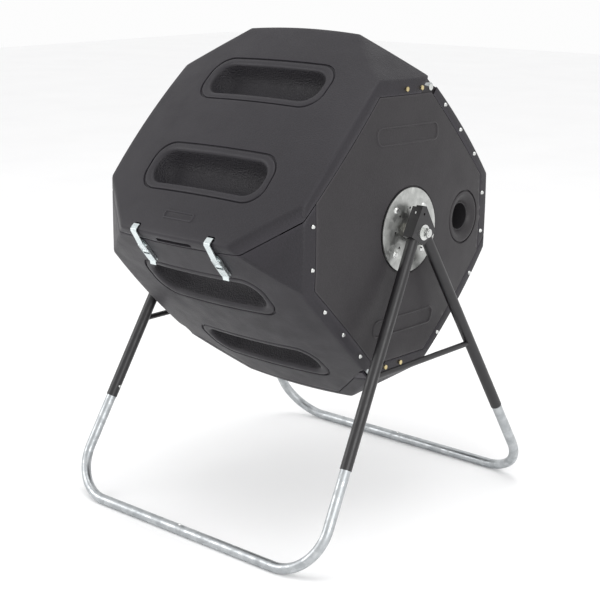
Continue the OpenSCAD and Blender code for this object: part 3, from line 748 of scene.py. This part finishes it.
def under_hinge(p, n):
    """The band under a fixed panel's hinge seam: straight in the middle, slanted beside."""
    a, b = -p.y, abs(p.x)
    return n.z > 0.9 and LOW - BAND_FOOT < a < HINGE + BAND_OUT \
        and a + b < SUM + SLANT_OUT and (a > HINGE - BAND_IN or a + b > SUM - SLANT_IN)


def end_rim(p, n):
    """The band round an end panel that lies under the flanges."""
    return n.x > 0.9 and (max(abs(p.y), abs(p.z)) > RIM_FROM
                          or (abs(p.y) + abs(p.z)) / ROOT2 > RIM_CORNER)


# Free space round a hinge pin and towards its strap, and the pins' middle and half length
HINGE_ROOM, STRAP_ROOM = 14, 34
PIN_X, PIN_HALF = 290, 18
# The hinge notches of the flanges lie past this distance from the middle
NOTCH_X = 272
# Where the latch slots and the finger slot are cut in the door's front edge
LATCH_SLOT_X, LATCH_SLOT_Y = 11, (-288.8, -276.5)
FINGER_SLOT = ((-52, -330, 274.5), (52, -282, 284))

pin = DRUM.inverted() @ Vector(joints["door_hinge"]["pos_m"]) * 1000
latches = [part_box("latch_hook_%s" % s) for s in ("left", "right")]
latch_x = [500 * (b[0][0] + b[1][0]) for b in latches]


def scallops():
    """Cuts the room for the two hinge pins out of a door-type panel."""
    return [round_tool(HINGE_ROOM, s * PIN_X - PIN_HALF, s * PIN_X + PIN_HALF, pin.y, pin.z)
            for s in (1, -1)]


latch_slots = [block((x - LATCH_SLOT_X, LATCH_SLOT_Y[0], 270),
                     (x + LATCH_SLOT_X, LATCH_SLOT_Y[1], 330)) for x in latch_x]
door = carve(thicken(door_skin(True), "door"),
             latch_slots + [block(*FINGER_SLOT)] + scallops())
place(door, face_matrix(0), "door_shell", "door", "side_panels", "door_panel")

lower_back = carve(thicken(door_skin(False), "lower_back"), scallops())
place(lower_back, face_matrix(2), "lower_back_shell", "drum", "side_panels",
      "panel_lower_back")

for k, name in ((1, "lower_front"), (3, "upper_back")):
    ob = carve(thicken(fixed_skin(), name))
    place(ob, face_matrix(k), name + "_shell", "drum", "side_panels", "panel_" + name)
    for part, high, inset in (("rim", 278.5, 8.5), ("web", 264, 5.7)):
        rim = layer(lambda p, n: STRIP_Y < p.y < high and abs(p.x) < STRIP_X and n.z > 0.5,
                    inset, STRIP_T, "rim",
                    [(Y * STRIP_Y, Y), (Y * high, Y), (X * STRIP_X, X), (X * -STRIP_X, X)])
        place(carve(rim), face_matrix(k), name + "_front_" + part, "drum", "side_panels")
    edges = [(Y * -v, Y) for v in (HINGE - BAND_IN, HINGE + BAND_OUT, LOW - BAND_FOOT)]
    edges += [(Y * -v, Vector((s, -1, 0)).normalized())
              for v in (SUM - SLANT_IN, SUM + SLANT_OUT) for s in (1, -1)]
    rim = layer(under_hinge, BAND_DEPTH, STRIP_T, "rim", edges)
    place(carve(rim), face_matrix(k), name + "_hinge_rim", "drum", "side_panels")

for s, name in ((1, "right"), (-1, "left")):
    flip = Matrix.Scale(-1, 4, (1, 0, 0)) if s < 0 else Matrix.Identity(4)
    ob = carve(thicken(end_skin(), name))
    place(ob, DRUM @ flip, "end_%s_shell" % name, "drum", "end_panels", "end_panel_" + name)
    rim = layer(end_rim, RIM_DEPTH, RIM_T, "rim")
    place(carve(rim), DRUM @ flip, "end_%s_rim" % name, "drum", "end_panels")

SKIN.free()

# ---- The CAD pieces that stay ----

for name, ob in frame["nodes"].items():
    if slots[name] not in ("side_panels", "end_panels"):
        ob.data.materials.clear()
        ob.data.materials.append(MATS[slots[name]])

# ---- Studio ----

floor_mat = Shader("floor")
fc = floor_mat.mix(floor_mat.remap(floor_mat.noise(2, 3), 0.3, 0.7, 0, 1),
                   (0.94, 0.94, 0.943), (0.96, 0.96, 0.963))
floor_mat.done(fc, 0.9, None, specular=0.1)
me = bpy.data.meshes.new("floor")
half = 12
me.from_pydata([(-half, -half, 0), (half, -half, 0), (half, half, 0), (-half, half, 0)], [],
               [(0, 1, 2, 3)])
me.materials.append(floor_mat.mat)
floor = bpy.data.objects.new("floor", me)
scene.collection.objects.link(floor)

world = bpy.data.worlds.new("studio")
scene.world = world
world.use_nodes = True
world.node_tree.nodes["Background"].inputs["Color"].default_value = (1, 1, 1, 1)
world.node_tree.nodes["Background"].inputs["Strength"].default_value = 0.98


def lamp(name, at, to, size, power):
    """A rectangular lamp at a point, turned to another."""
    data = bpy.data.lights.new(name, "AREA")
    data.shape = "RECTANGLE"
    data.size, data.size_y = size
    data.energy = power
    ob = bpy.data.objects.new(name, data)
    scene.collection.objects.link(ob)
    ob.location = at
    ob.rotation_euler = (Vector(to) - Vector(at)).to_track_quat("-Z", "Y").to_euler()


lamp("key", (-2.6, -2.6, 2.0), (0, 0, 0.6), (2.2, 1.8), 36)
lamp("fill", (3.4, -1.4, 1.6), (0, 0, 0.6), (2.0, 2.0), 50)
lamp("top", (0.3, -0.2, 3.6), (0, 0, 0.6), (2.6, 2.6), 32)
